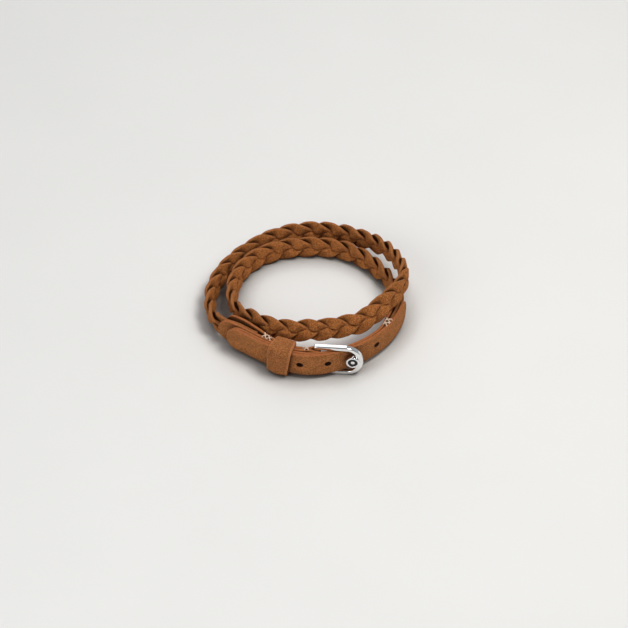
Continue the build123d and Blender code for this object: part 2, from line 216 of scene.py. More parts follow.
def plan(radius, angle, axis=WRIST):
    """Plan points at radii and angles about an upright axis."""
    turn = np.radians(angle)
    return np.stack([radius * np.cos(turn), radius * np.sin(turn)], -1) + axis


def run_lengths(points):
    """Length run to each point of a line."""
    steps = np.linalg.norm(np.diff(points, axis=0), axis=1)
    return np.concatenate([[0.0], np.cumsum(steps)])


def ease(value):
    """Smooth step from 0 to 1."""
    value = np.clip(value, 0.0, 1.0)
    return value * value * (3 - 2 * value)


def quarter_round(value):
    """Height of a quarter circle at a share of its width, from 0 to 1."""
    return np.sqrt(1 - (1 - np.clip(value, 0, 1)) ** 2)


def softened(line, rounds):
    """A line with its corners rounded a little more each round; its ends stay."""
    for _ in range(rounds):
        line[1:-1] = (line[:-2] + 2 * line[1:-1] + line[2:]) / 4
    return line


def divided(points, step):
    """A closed outline with points added so that none is much further than step from the next."""
    dense = []
    for here, there in zip(points, points[1:] + points[:1]):
        count = max(1, round(math.dist(here, there) / step))
        dense += [(here[0] + (there[0] - here[0]) * i / count,
                   here[1] + (there[1] - here[1]) * i / count) for i in range(count)]
    return dense


def ripple(a, b, seed):
    """Slow unevenness of hand-cut leather, between about -1 and 1."""
    return (np.sin(0.61 * a + 1.7 * seed) * np.cos(0.83 * b + 0.9 * seed)
            + 0.6 * np.sin(1.37 * a - 0.71 * b + 2.3 * seed)
            + 0.4 * np.sin(2.9 * a + 1.9 * b + 0.4 * seed)) / 2


# ---------------------------------------------------------------- meshes

def make_piece(name, verts, faces, materials, body, slot, nodes, face_slots=None, wear_and_highlight=None):
    """A smooth mesh piece that rides on a body and stands for CAD nodes."""
    mesh = bpy.data.meshes.new(name)
    mesh.from_pydata((np.asarray(verts) * MM).tolist(), [], [list(face) for face in faces])
    for material in materials:
        mesh.materials.append(material)
    mesh.polygons.foreach_set("use_smooth", [True] * len(mesh.polygons))
    if face_slots is not None:
        mesh.polygons.foreach_set("material_index", [int(i) for i in face_slots])
    if wear_and_highlight is not None:
        layer = mesh.attributes.new("wear_and_highlight", "FLOAT", "POINT")
        layer.data.foreach_set("value", np.asarray(wear_and_highlight, dtype=np.float32))
    mesh.update()
    piece = bpy.data.objects.new(name, mesh)
    bpy.context.scene.collection.objects.link(piece)
    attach(piece, body)
    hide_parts(*nodes)


def tube_faces(rings, sides, closed=False):
    """Quads over rings of points; an open tube gets an end face at each end."""
    faces = []
    last = rings if closed else rings - 1
    for ring in range(last):
        here = ring * sides
        there = (ring + 1) % rings * sides
        for side in range(sides):
            beside = (side + 1) % sides
            faces.append((here + side, here + beside, there + beside, there + side))
    if not closed:
        faces.append(tuple(range(sides - 1, -1, -1)))
        faces.append(tuple((rings - 1) * sides + side for side in range(sides)))
    return faces


# ---------------------------------------------------------------- leather straps

EDGE_RINGS = (0.0, 0.05, 0.12, 0.24, 0.42, 0.7)
EDGE_ROUND = 0.42
EDGE_WALL = 0.55
INNER_WALL = 0.9
FACES_OUT = (EDGE_WALL, INNER_WALL)
FACES_IN = (INNER_WALL, EDGE_WALL)
OUTLINE_STEP = 0.5
GRID_ALONG = 0.6
GRID_UP = 0.55
GRID_MARGIN = 0.22
HOLE_SIDES = 28
HOLE_ROUND = 0.5
HOLE_DIP = 0.12
UNEVEN = 0.04
WEAR_DEPTH = 0.35
PAINT_DEPTH = 0.13
FACE_SLOT, EDGE_SLOT, HOLE_SHADE_SLOT = range(3)


def outline_ring(length, inset, rounds):
    """Boundary of a strap laid flat, moved inwards by an inset; rounds are its end radii."""
    start_round, end_round = rounds
    points = []
    corners = [(length, STRAP_HEIGHT, end_round, 0), (0.0, STRAP_HEIGHT, start_round, 90),
               (0.0, 0.0, start_round, 180), (length, 0.0, end_round, 270)]
    for x, y, radius, first in corners:
        centre_x = x - radius if x > 0 else x + radius
        centre_y = y - radius if y > 0 else y + radius
        reach = max(radius - inset, 0.02)
        for turn in np.radians(np.linspace(first, first + 90, 4 + int(radius * 5))):
            points.append((centre_x + reach * math.cos(turn), centre_y + reach * math.sin(turn)))
    return divided(points, OUTLINE_STEP)


def depth_inside(points, length, rounds, holes):
    """Distance of each flat point from the nearest edge and hole, below 0 if outside."""
    start_round, end_round = rounds
    x = points[:, 0]
    y = points[:, 1]
    radius = np.where(x > length / 2, end_round, start_round)
    past_x = np.abs(x - length / 2) - length / 2 + radius
    past_y = np.abs(y - STRAP_HEIGHT / 2) - STRAP_HEIGHT / 2 + radius
    outside = np.hypot(np.maximum(past_x, 0), np.maximum(past_y, 0))
    depth = radius - outside - np.minimum(np.maximum(past_x, past_y), 0)
    hole_depth = np.full(len(points), 99.0)
    for place, middle, half_long, half_tall in holes:
        share_x = (x - place) / half_long
        share_y = (y - middle) / half_tall
        near = np.hypot(share_x, share_y)
        pull = np.hypot(share_x / half_long, share_y / half_tall)
        hole_depth = np.minimum(hole_depth, near * (near - 1) / np.maximum(pull, 1e-6))
    return depth, hole_depth


def flat_ply(length, rounds, holes):
    """Points and triangles of a ply laid flat, with close rings inside each edge and hole."""
    flat = []
    edges = []

    def add_ring(points):
        first = len(flat)
        flat.extend(points)
        count = len(points)
        edges.extend((first + i, first + (i + 1) % count) for i in range(count))

    for inset in EDGE_RINGS:
        add_ring(outline_ring(length, inset, rounds))
        for place, middle, half_long, half_tall in holes:
            add_ring([(place + (half_long + inset) * math.cos(turn),
                       middle + (half_tall + inset) * math.sin(turn))
                      for turn in np.linspace(0, 2 * math.pi, HOLE_SIDES, endpoint=False)])
    across = int(STRAP_HEIGHT / GRID_UP)
    along = int(length / GRID_ALONG)
    grid = np.array([((i + 0.5 * (j % 2)) * length / along, j * STRAP_HEIGHT / across)
                     for j in range(1, across) for i in range(1, along)])
    keep = np.minimum(*depth_inside(grid, length, rounds, holes)) > EDGE_RINGS[-1] + GRID_MARGIN
    flat.extend(map(tuple, grid[keep]))
    verts, _, triangles, _, _, _ = delaunay_2d_cdt([Vector(p) for p in flat], edges, [], 0, 1e-6)
    flat = np.array([tuple(v) for v in verts])
    triangles = np.array([list(t) for t in triangles])
    middle = flat[triangles].mean(axis=1)
    triangles = triangles[np.minimum(*depth_inside(middle, length, rounds, holes)) > 1e-4]
    side_a = flat[triangles[:, 1]] - flat[triangles[:, 0]]
    side_b = flat[triangles[:, 2]] - flat[triangles[:, 0]]
    turned = side_a[:, 0] * side_b[:, 1] - side_a[:, 1] * side_b[:, 0] < 0
    triangles[turned] = triangles[turned][:, ::-1]
    return flat, triangles


def along_path(path, places):
    """Plan points at places along a path, and its right-hand direction there."""
    lengths = run_lengths(path)
    tangent = np.gradient(path, lengths, axis=0)
    tangent /= np.linalg.norm(tangent, axis=1)[:, None]
    points = np.stack([np.interp(places, lengths, path[:, i]) for i in range(2)], -1)
    right = np.stack([np.interp(places, lengths, tangent[:, 1]),
                      -np.interp(places, lengths, tangent[:, 0])], -1)
    return points, right / np.hypot(right[:, 0], right[:, 1])[:, None]


def leather_ply(name, path, thickness, holes, rounds, slot, seed, materials, walls):
    """One ply cut from leather: rounded edges, punched holes and a slightly uneven face.

    path runs anticlockwise, so that its right-hand side is the face away from the wrist.
    materials are those of the face, the edge and the holes. walls says how square the edge
    is towards the outer and the wrist-side face."""
    length = run_lengths(path)[-1]
    flat, triangles = flat_ply(length, rounds, holes)
    edge_depth, hole_depth = depth_inside(flat, length, rounds, holes)
    depth = np.maximum(np.minimum(edge_depth, hole_depth), 0)
    swell = quarter_round(depth / EDGE_ROUND)
    dip = 1 - HOLE_DIP * np.exp(-(np.maximum(hole_depth, 0) / HOLE_ROUND) ** 2)
    half = thickness(flat[:, 0]) / 2 * dip
    rise_out = half * (walls[0] + (1 - walls[0]) * swell)
    rise_in = half * (walls[1] + (1 - walls[1]) * swell)
    rough = UNEVEN * ripple(flat[:, 0], flat[:, 1], seed) * swell

    points, right = along_path(path, flat[:, 0])
    height = STRAP_BOTTOM + flat[:, 1:]
    outer = np.hstack([points + right * (rise_out + rough)[:, None], height])
    inner = np.hstack([points - right * (rise_in - rough)[:, None], height])
    count = len(flat)
    faces = [tuple(t) for t in triangles] + [tuple(t[::-1] + count) for t in triangles]
    # The cut wall between the two faces closes every open edge.
    sides = np.stack([triangles, np.roll(triangles, -1, axis=1)], -1).reshape(-1, 2)
    sides = dict.fromkeys(map(tuple, sides.tolist()))
    wall_faces = [(a, a + count, b + count, b) for a, b in sides if (b, a) not in sides]
    # Hole walls and rims take the hole material, whose near-black colour paints the shade inside
    # each hole.
    wall_slots = [HOLE_SHADE_SLOT if hole_depth[face[0]] < 0.01 else EDGE_SLOT for face in wall_faces]
    painted = np.where(edge_depth[triangles].max(axis=1) < PAINT_DEPTH, EDGE_SLOT, FACE_SLOT)
    painted[hole_depth[triangles].max(axis=1) < PAINT_DEPTH] = HOLE_SHADE_SLOT
    wear_and_highlight = np.exp(-depth / WEAR_DEPTH)
    make_piece("leather_" + name, np.concatenate([outer, inner]), faces + wall_faces, materials,
               "band", slot, [name], np.concatenate([painted, painted, wall_slots]),
               np.concatenate([wear_and_highlight, wear_and_highlight]))


def ply_path(stations, start, end):
    """Plan points midway through a ply."""
    angles = np.linspace(start, end, max(8, int(abs(end - start) * 2)))
    return plan(glide(stations, angles) + LEATHER / 2, angles)


def full_leather(places):
    """A ply of one thickness all along."""
    return np.full(len(places), LEATHER + NAP)


def strap_holes(path, start, end):
    """Places of the punched holes along a ply of the strap with holes."""
    lengths = run_lengths(path)
    angles = np.linspace(start, end, len(path))
    holes = []
    for index in range(HOLE_COUNT):
        place = np.interp(HOLE_FIRST + HOLE_PITCH * index, angles, lengths)
        holes.append((place, STRAP_HEIGHT / 2, HOLE_LENGTH / 2, HOLE_HEIGHT / 2))
    return holes


def bridge(first, second):
    """Smooth line from the end of one line to the start of another, along their directions."""
    start = first[-1]
    end = second[0]
    lead_out = (first[-1] - first[-2]) / np.linalg.norm(first[-1] - first[-2])
    lead_in = (second[1] - second[0]) / np.linalg.norm(second[1] - second[0])
    span = np.linalg.norm(end - start)
    u = np.linspace(0, 1, 14)[1:-1, None]
    rise = u * u * (3 - 2 * u)
    return (start * (1 - rise) + end * rise + lead_out * span * u * (1 - u) ** 2
            - lead_in * span * u * u * (1 - u))


def folded_path():
    """Plan of the outer buckle ply, and the length of its run along the wrist.

    After that run it goes round the bar and doubles back."""
    run = ply_path(BUCKLE_OUTER, BUCKLE_OUTER_END, RUN_END)
    turn = np.radians(np.linspace(-FOLD_WRAP, FOLD_WRAP, 40))
    wrap = BAR + FOLD_RADIUS * np.stack([np.cos(turn), np.sin(turn)], -1)
    back = ply_path(BUCKLE_LINING, BACK_START, BACK_END)
    path = np.concatenate([run, bridge(run, wrap), wrap, bridge(wrap, back), back])
    return path, run_lengths(run)[-1]


def build_straps(suede, lining, edge, hole_shade):
    """The four plies of the two strap ends."""
    for name, stations, slot, seed, skin, walls in (
            ("hole_strap_outer", HOLE_OUTER, "suede", 1, suede, FACES_OUT),
            ("hole_strap_lining", HOLE_LINING, "lining", 2, lining, FACES_IN)):
        path = ply_path(stations, *HOLE_STRAP_ENDS)
        leather_ply(name, path, full_leather, strap_holes(path, *HOLE_STRAP_ENDS),
                    (TIP_ROUND, FULL_ROUND), slot, seed, [skin, edge, hole_shade], walls)

    path, run = folded_path()
    slot_place = run + SLOT_LEAD

    def skived(places):
        near = np.exp(-((places - slot_place) / SKIVED_HALF) ** 4)
        return (LEATHER + NAP) * (1 - near) + FOLD_LEATHER * near

    slot_hole = [(slot_place, STRAP_HEIGHT / 2, *SLOT_HALF)]
    leather_ply("buckle_strap_outer", path, skived, slot_hole, (FULL_ROUND, CUT_ROUND), "suede",
                3, [suede, edge, hole_shade], FACES_OUT)
    path = ply_path(BUCKLE_LINING, BUCKLE_LINING_END, BACK_END - LINING_GAP)
    leather_ply("buckle_strap_lining", path, full_leather, [], (FULL_ROUND, CUT_ROUND), "lining",
                4, [lining, edge, hole_shade], FACES_IN)


# ---------------------------------------------------------------- braid

def braid_line():
    """Evenly spaced centre points of the braid, with its way out, its way up and its length."""
    angles = np.arange(BRAID[0][0], BRAID[-1][0], -0.25)
    level = plan(glide(BRAID, angles), angles)
    line = np.column_stack([level, glide(BRAID, angles, 2)])
    lengths = run_lengths(line)
    even = np.linspace(0, lengths[-1], BRAID_RINGS)
    lean = np.radians(np.interp(even, lengths, glide(BRAID, angles, 3)))[:, None]
    line = np.stack([np.interp(even, lengths, line[:, i]) for i in range(3)], -1)
    tangent = np.gradient(line[:, :2], axis=0)
    outward = np.stack([-tangent[:, 1], tangent[:, 0]], -1)
    outward /= np.linalg.norm(outward, axis=1)[:, None]
    side = np.sign(np.sum(outward * (line[:, :2] - WRIST), axis=1))[:, None]
    outward = np.column_stack([outward * side, np.zeros(len(line))])
    up = np.array([[0.0, 0.0, 1.0]])
    leant = up * np.cos(lean) - outward * np.sin(lean)
    return line, outward * np.cos(lean) + up * np.sin(lean), leant, even


def build_braid(suede):
    """The three flat laces, each plaited over and under the other two."""
    line, outward, up, even = braid_line()
    plaited = even[-1] - 2 * LANE_LENGTH
    turns = round(plaited / BRAID_CREST)
    around = np.linspace(0, 2 * np.pi, LACE_SIDES, endpoint=False) + np.pi / LACE_SIDES
    across = np.sign(np.cos(around)) * np.abs(np.cos(around)) ** LACE_ROUNDNESS[0]
    through = np.sign(np.sin(around)) * np.abs(np.sin(around)) ** LACE_ROUNDNESS[1]
    for strand in range(3):
        inside = np.clip(even - LANE_LENGTH, 0, plaited)
        phase = 2 * np.pi * (inside / plaited * turns / 3 + strand / 3)
        beyond = np.maximum(np.maximum(LANE_LENGTH - even, even - LANE_LENGTH - plaited), 0)
        out = ease(beyond / LANE_EASE)
        fast = ease(2 * beyond / LANE_EASE)
        lane = LANE_SPACING * np.round(np.sin(phase))
        reach = BRAID_REACH * np.sin(phase)
        reach += (lane - reach) * fast
        weave = np.sin(2 * phase) * (1 - out)
        roll = np.radians(LACE_ROLL * np.cos(phase) * np.cos(2 * phase) * (1 - out))
        width = LACE_WIDTH + (LANE_WIDTH - LACE_WIDTH) * fast
        thick = LACE_THICKNESS + (LANE_THICKNESS - LACE_THICKNESS) * out
        width = width * (1 + WIDTH_WAVER * np.sin(0.9 * even + 2 * strand))
        thick = thick * (1 + THICKNESS_WAVER * np.sin(1.3 * even + 3 * strand))
        middle = line + up * reach[:, None] + outward * (BRAID_DEPTH * weave)[:, None]
        run = np.gradient(middle, axis=0)
        run /= np.linalg.norm(run, axis=1)[:, None]
        face = outward * np.cos(roll)[:, None] - up * np.sin(roll)[:, None]
        face -= run * np.sum(face * run, axis=1)[:, None]
        face /= np.linalg.norm(face, axis=1)[:, None]
        wide = np.cross(face, run)
        wide *= np.sign(wide[:, 2])[:, None]
        rough = 1 + LACE_ROUGHNESS * ripple(2.2 * even[:, None], 3 * around, strand + 5)
        side = across[None, :] * rough * width[:, None] / 2
        rise = through[None, :] * rough * thick[:, None] / 2
        rise = rise - LACE_CUP * weave[:, None] * across[None, :] ** 2
        verts = (middle[:, None, :] + wide[:, None, :] * side[..., None]
                 + face[:, None, :] * rise[..., None])
        wear_and_highlight = np.broadcast_to(np.abs(across)[None, :] ** 8, verts.shape[:2])
        make_piece(f"suede_lace_{strand + 1}", verts.reshape(-1, 3),
                   tube_faces(len(line), LACE_SIDES), [suede], "band", "braid_suede",
                   [f"braid_strand_{strand + 1}"], None, wear_and_highlight.ravel())


# ---------------------------------------------------------------- keeper

def rounded_box(low, high, bends, step):
    """Closed path round a box whose four corners, anticlockwise from high, are arcs."""
    points = []
    corners = ((high[0], high[1], 1, 1), (low[0], high[1], -1, 1),
               (low[0], low[1], -1, -1), (high[0], low[1], 1, -1))
    for (x, y, way_x, way_y), bend, start in zip(corners, bends, (0, 90, 180, 270)):
        for turn in np.radians(np.linspace(start, start + 90, 12)):
            points.append((x - way_x * bend + bend * math.cos(turn),
                           y - way_y * bend + bend * math.sin(turn)))
    return np.array(divided(points, step))


def keeper_section(width):
    """Section across the keeper's strip: share of its width, height and depth from its edge."""
    rim_steps = KEEPER_RIM * np.array([0.0, 0.1, 0.28, 0.52, 0.78])
    across = np.concatenate([rim_steps, np.linspace(KEEPER_RIM, width - KEEPER_RIM, 26),
                             width - rim_steps[::-1]])
    depth = np.minimum(across, width - across)
    ridge = np.exp(-((depth - RIDGE_PLACE) / RIDGE_WIDTH) ** 2)
    crown = KEEPER_CROWN * np.sin(np.pi * across / width) + KEEPER_RIDGE * ridge
    rise = KEEPER_LEATHER / 2 * (KEEPER_EDGE
                                 + (1 - KEEPER_EDGE) * quarter_round(depth / KEEPER_RIM))
    face = np.stack([across / width, rise + crown, depth], -1)
    back = np.stack([across / width, -rise, depth], -1)[::-1]
    return np.concatenate([face, back])


def build_keeper(suede, edge):
    """The loop round both straps: a strip with rounded edges, bent round soft corners."""
    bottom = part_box("keeper_loop")[0][2] / MM + KEEPER_LEATHER / 2
    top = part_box("keeper_loop")[1][2] / MM - KEEPER_LEATHER / 2
    path = rounded_box((KEEPER_INNER - KEEPER_LEATHER / 2, bottom),
                       (KEEPER_OUTER + KEEPER_LEATHER / 2, top), KEEPER_CORNERS, KEEPER_STEP)
    tangent = np.roll(path, -1, axis=0) - np.roll(path, 1, axis=0)
    tangent /= np.linalg.norm(tangent, axis=1)[:, None]
    normal = np.stack([tangent[:, 1], -tangent[:, 0]], -1)
    first, last = KEEPER_ENDS
    share, lift, depth = keeper_section(
        math.radians(last - first) * (KEEPER_INNER + KEEPER_OUTER) / 2).T
    radius = path[:, None, 0] + normal[:, None, 0] * lift
    height = path[:, None, 1] + normal[:, None, 1] * lift
    tall = path[:, None, 1] - (bottom + top) / 2
    angle = first + (last - first) * share + KEEPER_SKEW * tall * (0.25 + share)
    height = height + KEEPER_UNEVEN * ripple(angle * 0.5, radius, 9)
    verts = np.concatenate([plan(radius, angle, KEEPER_AXIS), height[..., None]], -1)
    # Rubbed band beside each edge, coloured light to paint the highlight on the keeper's ridges.
    wear_and_highlight = np.broadcast_to(np.exp(-((depth - HIGHLIGHT_BAND_PLACE) / HIGHLIGHT_BAND_WIDTH) ** 2), radius.shape)
    rings, sides = radius.shape
    faces = [face[::-1] for face in tube_faces(rings, sides, closed=True)]
    cut = depth < PAINT_DEPTH
    slots = np.tile(np.where(cut & np.roll(cut, -1), EDGE_SLOT, FACE_SLOT), rings)
    make_piece("keeper_band", verts.reshape(-1, 3), faces, [suede, edge], "keeper", "suede",
               ["keeper_loop"], slots, wear_and_highlight.ravel())


# ---------------------------------------------------------------- buckle

def on_bar(across, deep, up):
    """Points about the buckle's bar: across it, towards the wrist, and up it."""
    return np.stack([BAR[0] + across, BAR[1] + deep, FRAME_MIDDLE + up], -1)


def on_frame(along, out, height):
    """Points along the buckle frame from its bar, out from the wrist, at a height."""
    turn = math.radians(FRAME_TILT)
    x = BAR[0] + along * math.cos(turn) + out * math.sin(turn)
    y = BAR[1] + along * math.sin(turn) - out * math.cos(turn)
    return np.stack(np.broadcast_arrays(x, y, height), -1)


def joined(*meshes):
    """Several meshes as one."""
    verts = []
    faces = []
    for part_verts, part_faces in meshes:
        start = sum(len(v) for v in verts)
        verts.append(np.asarray(part_verts).reshape(-1, 3))
        faces += [tuple(i + start for i in face) for face in part_faces]
    return np.concatenate(verts), faces


def eased_section(width, thickness, ease_radius):
    """Rectangular section with rounded edges and a close loop beside each of them."""
    points = []
    close = 0.08
    for way_x, way_y, start in ((1, 1, 0), (-1, 1, 90), (-1, -1, 180), (1, -1, 270)):
        centre_x = way_x * (width / 2 - ease_radius)
        centre_y = way_y * (thickness / 2 - ease_radius)
        arc = [(centre_x + ease_radius * math.cos(t), centre_y + ease_radius * math.sin(t))
               for t in np.radians(np.linspace(start, start + 90, 6))]
        turn = math.radians(start)
        points.append((arc[0][0] + close * math.sin(turn), arc[0][1] - close * math.cos(turn)))
        points += arc
        points.append((arc[-1][0] - close * math.cos(turn), arc[-1][1] - close * math.sin(turn)))
    return np.array(points)


def lathe(profile, sides, place):
    """A closed profile of (radius, height) turned about an axis; place maps it to the part."""
    profile = np.array(profile)
    turn = np.linspace(0, 2 * np.pi, sides, endpoint=False)[:, None]
    verts = place(profile[None, :, 0] * np.cos(turn), profile[None, :, 0] * np.sin(turn),
                  np.broadcast_to(profile[None, :, 1], (sides, len(profile))))
    return verts, tube_faces(sides, len(profile), closed=True)


def turned_edge(radius, height, ease_radius, start):
    """Quarter arc of a turned profile that ends its side or its face."""
    turns = np.radians(np.linspace(start, start + 90, 7))
    return [(radius + ease_radius * math.cos(t), height + ease_radius * math.sin(t))
            for t in turns]


def horseshoe():
    """The frame's two arms and round end, as one section swept round."""
    half = FRAME_HEIGHT / 2
    straight = FRAME_LENGTH - half + FRAME_TAIL
    clear_tall = half - FRAME_ARM
    clear_long = half - FRAME_END_WIDTH - FRAME_SQUARE
    ends = FRAME_EASED * np.array([0.0, 0.13, 0.5, 1.0])
    arm = np.concatenate([ends, np.linspace(FRAME_EASED, straight, 12)[1:-1]])
    turn = np.radians(np.linspace(-90, 90, 61))
    share = np.concatenate([arm / straight, np.ones(len(turn)), arm[::-1] / straight])
    angle = np.concatenate([np.full(len(arm), -np.pi / 2), turn, np.full(len(arm), np.pi / 2)])
    outer = np.stack([-FRAME_TAIL + straight * share + half * np.cos(angle),
                      half * np.sin(angle)], -1)
    inner = np.stack([-FRAME_TAIL + (straight + FRAME_SQUARE) * share
                      + clear_long * np.cos(angle), clear_tall * np.sin(angle)], -1)
    inner[share < 1, 0] = outer[share < 1, 0]
    rings = []
    # Each arm's end is rounded by making its first sections smaller.
    inset = FRAME_EASED * (1 - quarter_round(ends / FRAME_EASED))
    for index in range(len(share)):
        width = np.linalg.norm(outer[index] - inner[index])
        way = (outer[index] - inner[index]) / width
        middle = (outer[index] + inner[index]) / 2
        step = min(index, len(share) - 1 - index)
        less = inset[step] if step < len(inset) else 0.0
        section = eased_section(width - 2 * less, FRAME_THICKNESS - 2 * less, FRAME_EASED * 0.9)
        rings.append(on_frame(middle[0] + way[0] * section[:, 0], section[:, 1],
                              FRAME_MIDDLE + middle[1] + way[1] * section[:, 0]))
    rings = np.array(rings)
    return rings, tube_faces(rings.shape[0], rings.shape[1])


def on_boss(across, up, out):
    """Points about the boss's axis: across the frame, up, and out of its face."""
    return on_frame(BOSS_PLACE + across, FRAME_THICKNESS / 2 + BOSS_PROUD + out, FRAME_MIDDLE + up)


def shank(low, high):
    """The tongue's bar behind the strap, with its tip turned out through a hole."""
    tip_x = high[0] - TONGUE_BLUNT
    elbow = BAR[1] + TONGUE_REACH
    knots = np.array([(BAR[0] + BAR_RADIUS, BAR[1] + BAR_RADIUS), (tip_x - 1.4, elbow - 0.1),
                      (tip_x - 0.3, elbow - 0.3), (tip_x, elbow - 1.1), (tip_x, low[1] + 0.36)])
    lengths = run_lengths(knots)
    places = np.linspace(0, lengths[-1], 70)
    line = np.stack([np.interp(places, lengths, knots[:, i]) for i in range(2)], -1)
    line = softened(line, 12)
    tangent = np.gradient(line, axis=0)
    tangent /= np.linalg.norm(tangent, axis=1)[:, None]
    normal = np.stack([-tangent[:, 1], tangent[:, 0]], -1)
    share = places / lengths[-1]
    blunt = quarter_round((lengths[-1] - places) / TONGUE_BLUNT)
    width = (TONGUE_WIDTH - TONGUE_TAPER * share) * (0.3 + 0.7 * blunt)
    height = (high[2] - low[2]) * (0.4 + 0.6 * blunt) * (1 - 0.15 * share)
    rings = []
    for index in range(len(line)):
        section = eased_section(width[index], height[index], TONGUE_EASED)
        level = line[index] + normal[index] * section[:, :1]
        rings.append(np.column_stack([level, FRAME_MIDDLE + section[:, 1]]))
    return np.array(rings), tube_faces(len(rings), len(rings[0]))


def build_tongue(steel):
    """The tongue: an eye that turns on the bar, and its shank."""
    low, high = (np.array(corner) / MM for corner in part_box("buckle_tongue"))
    half = (high[2] - low[2]) / 2
    bore = BAR_RADIUS + 0.05
    rim = EYE_RADIUS - EYE_EASED
    eye = [(bore, -half + 0.1), (bore, half - 0.1), (bore + 0.1, half)]
    eye += turned_edge(rim, half - EYE_EASED, EYE_EASED, 0)[::-1]
    eye += turned_edge(rim, -half + EYE_EASED, EYE_EASED, 270)[::-1]
    eye += [(bore + 0.1, -half)]
    make_piece("buckle_prong", *joined(shank(low, high), lathe(eye, 48, on_bar)), [steel],
               "tongue", "steel", ["buckle_tongue"])


def build_frame(steel, enamel):
    """The frame with its boss, and the black inlay and the dot in the boss."""
    floor = INLAY_DEPTH + 0.1
    side = BOSS_RADIUS - BOSS_EASED
    boss = [(INLAY_RADIUS, -floor), (INLAY_RADIUS, -RECESS_EASED)]
    boss += turned_edge(INLAY_RADIUS + RECESS_EASED, -RECESS_EASED, RECESS_EASED, 90)[::-1]
    boss += turned_edge(side, -BOSS_EASED, BOSS_EASED, 0)[::-1]
    boss += [(BOSS_RADIUS, -BOSS_EASED - 0.08), (BOSS_RADIUS, -BOSS_LENGTH + BOSS_EASED)]
    boss += turned_edge(side, -BOSS_LENGTH + BOSS_EASED, BOSS_EASED, 270)[::-1]
    boss += [(0.02, -BOSS_LENGTH), (0.02, -floor)]
    make_piece("buckle_horseshoe", *joined(horseshoe(), lathe(boss, 72, on_boss)), [steel],
               "frame", "steel", ["buckle_frame"])

    low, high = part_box("boss_dot")
    radius = (high[2] - low[2]) / 2 / MM
    inlay = [(radius - 0.02, -INLAY_DEPTH), (radius - 0.02, -INLAY_SUNK)]
    inlay += [(radius + 0.02 + (INLAY_RADIUS - radius - 0.04) * u,
               -INLAY_SUNK + INLAY_SWELL * math.sin(math.pi * u)) for u in np.linspace(0, 1, 12)]
    inlay += [(INLAY_RADIUS - 0.01, -INLAY_DEPTH)]
    make_piece("boss_enamel", *joined(lathe(inlay, 72, on_boss)), [enamel], "frame", "enamel",
               ["boss_inlay"])
    dome = [(0.01, -INLAY_DEPTH)]
    dome += [(max(radius * math.sin(u), 0.01), -DOT_SUNK + DOT_DOME * math.cos(u))
             for u in np.linspace(0, math.pi / 2, 12)]
    dome += [(radius, -INLAY_DEPTH)]
    make_piece("boss_stud", *joined(lathe(dome, 48, on_boss)), [steel], "frame", "steel",
               ["boss_dot"])


def build_bar(steel):
    """The pin in the leather fold that the frame and the tongue turn on."""
    low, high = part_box("buckle_bar")
    half = (high[2] - low[2]) / 2 / MM
    side = BAR_RADIUS - BAR_EASED
    pin = [(0.01, -half)] + turned_edge(side, -half + BAR_EASED, BAR_EASED, 270)
    pin += turned_edge(side, half - BAR_EASED, BAR_EASED, 0) + [(0.01, half)]
    make_piece("buckle_pin", *joined(lathe(pin, 32, on_bar)), [steel], "band", "steel",
               ["buckle_bar"])


# ---------------------------------------------------------------- thread

def thread_path(start, end, lift):
    """Rounded staple from one leather edge over to the other, each an (x, y) place."""
    corners = [(0.0, -STITCH_SINK), (0.0, -0.1), (0.1, lift), (0.5, lift + 0.05), (0.9, lift),
               (1.0, -0.1), (1.0, -STITCH_SINK)]
    knots = np.array([(*(start + (end - start) * share), STRAP_TOP + height)
                      for share, height in corners])
    lengths = run_lengths(knots)
    fine = np.linspace(0, lengths[-1], 60)
    return softened(np.stack([np.interp(fine, lengths, knots[:, i]) for i in range(3)], -1), 10)


def twisted_thread(line):
    """Two strands twisted about a line, as closed tubes."""
    run = np.gradient(line, axis=0)
    run /= np.linalg.norm(run, axis=1)[:, None]
    side = np.cross(line[-1] - line[0], (0, 0, 1))
    side = np.broadcast_to(side / np.linalg.norm(side), line.shape)
    lift = np.cross(run, side)
    lengths = run_lengths(line)
    around = np.linspace(0, 2 * np.pi, 10, endpoint=False)
    meshes = []
    for strand in range(2):
        turn = (lengths * TWIST_RATE + np.pi * strand)[:, None]
        middle = line + (side * np.cos(turn) + lift * np.sin(turn)) * TWIST_RADIUS
        verts = (middle[:, None, :]
                 + (side[:, None, :] * np.cos(around)[None, :, None]
                    + lift[:, None, :] * np.sin(around)[None, :, None]) * THREAD_RADIUS)
        meshes.append((verts, tube_faces(len(line), len(around))))
    return meshes


def build_stitches(thread):
    """Crossed threads over the top edges of each pair of plies."""
    for node, outer, inner, centre, crosses in (
            ("hole_strap_stitches", HOLE_OUTER, HOLE_LINING, HOLE_STITCH, 2),
            ("braid_end_stitches", BUCKLE_OUTER, BUCKLE_LINING, BUCKLE_STITCH, 2),
            ("fold_stitches", BUCKLE_OUTER, BUCKLE_LINING, FOLD_STITCH, 1)):
        radius = float(glide(HOLE_OUTER, centre))
        meshes = []
        for index in range(crosses):
            middle = centre + math.degrees(STITCH_PITCH / radius) * (index - (crosses - 1) / 2)
            half = math.degrees(STITCH_HALF / radius)
            for way, lift in zip((1, -1), STITCH_LIFTS):
                start = plan(glide(outer, middle - way * half) + LEATHER / 2, middle - way * half)
                end = plan(glide(inner, middle + way * half) + LEATHER / 2, middle + way * half)
                meshes += twisted_thread(thread_path(start, end, lift))
        make_piece("thread_" + node, *joined(*meshes), [thread], "band", "thread", [node])


# ---------------------------------------------------------------- materials

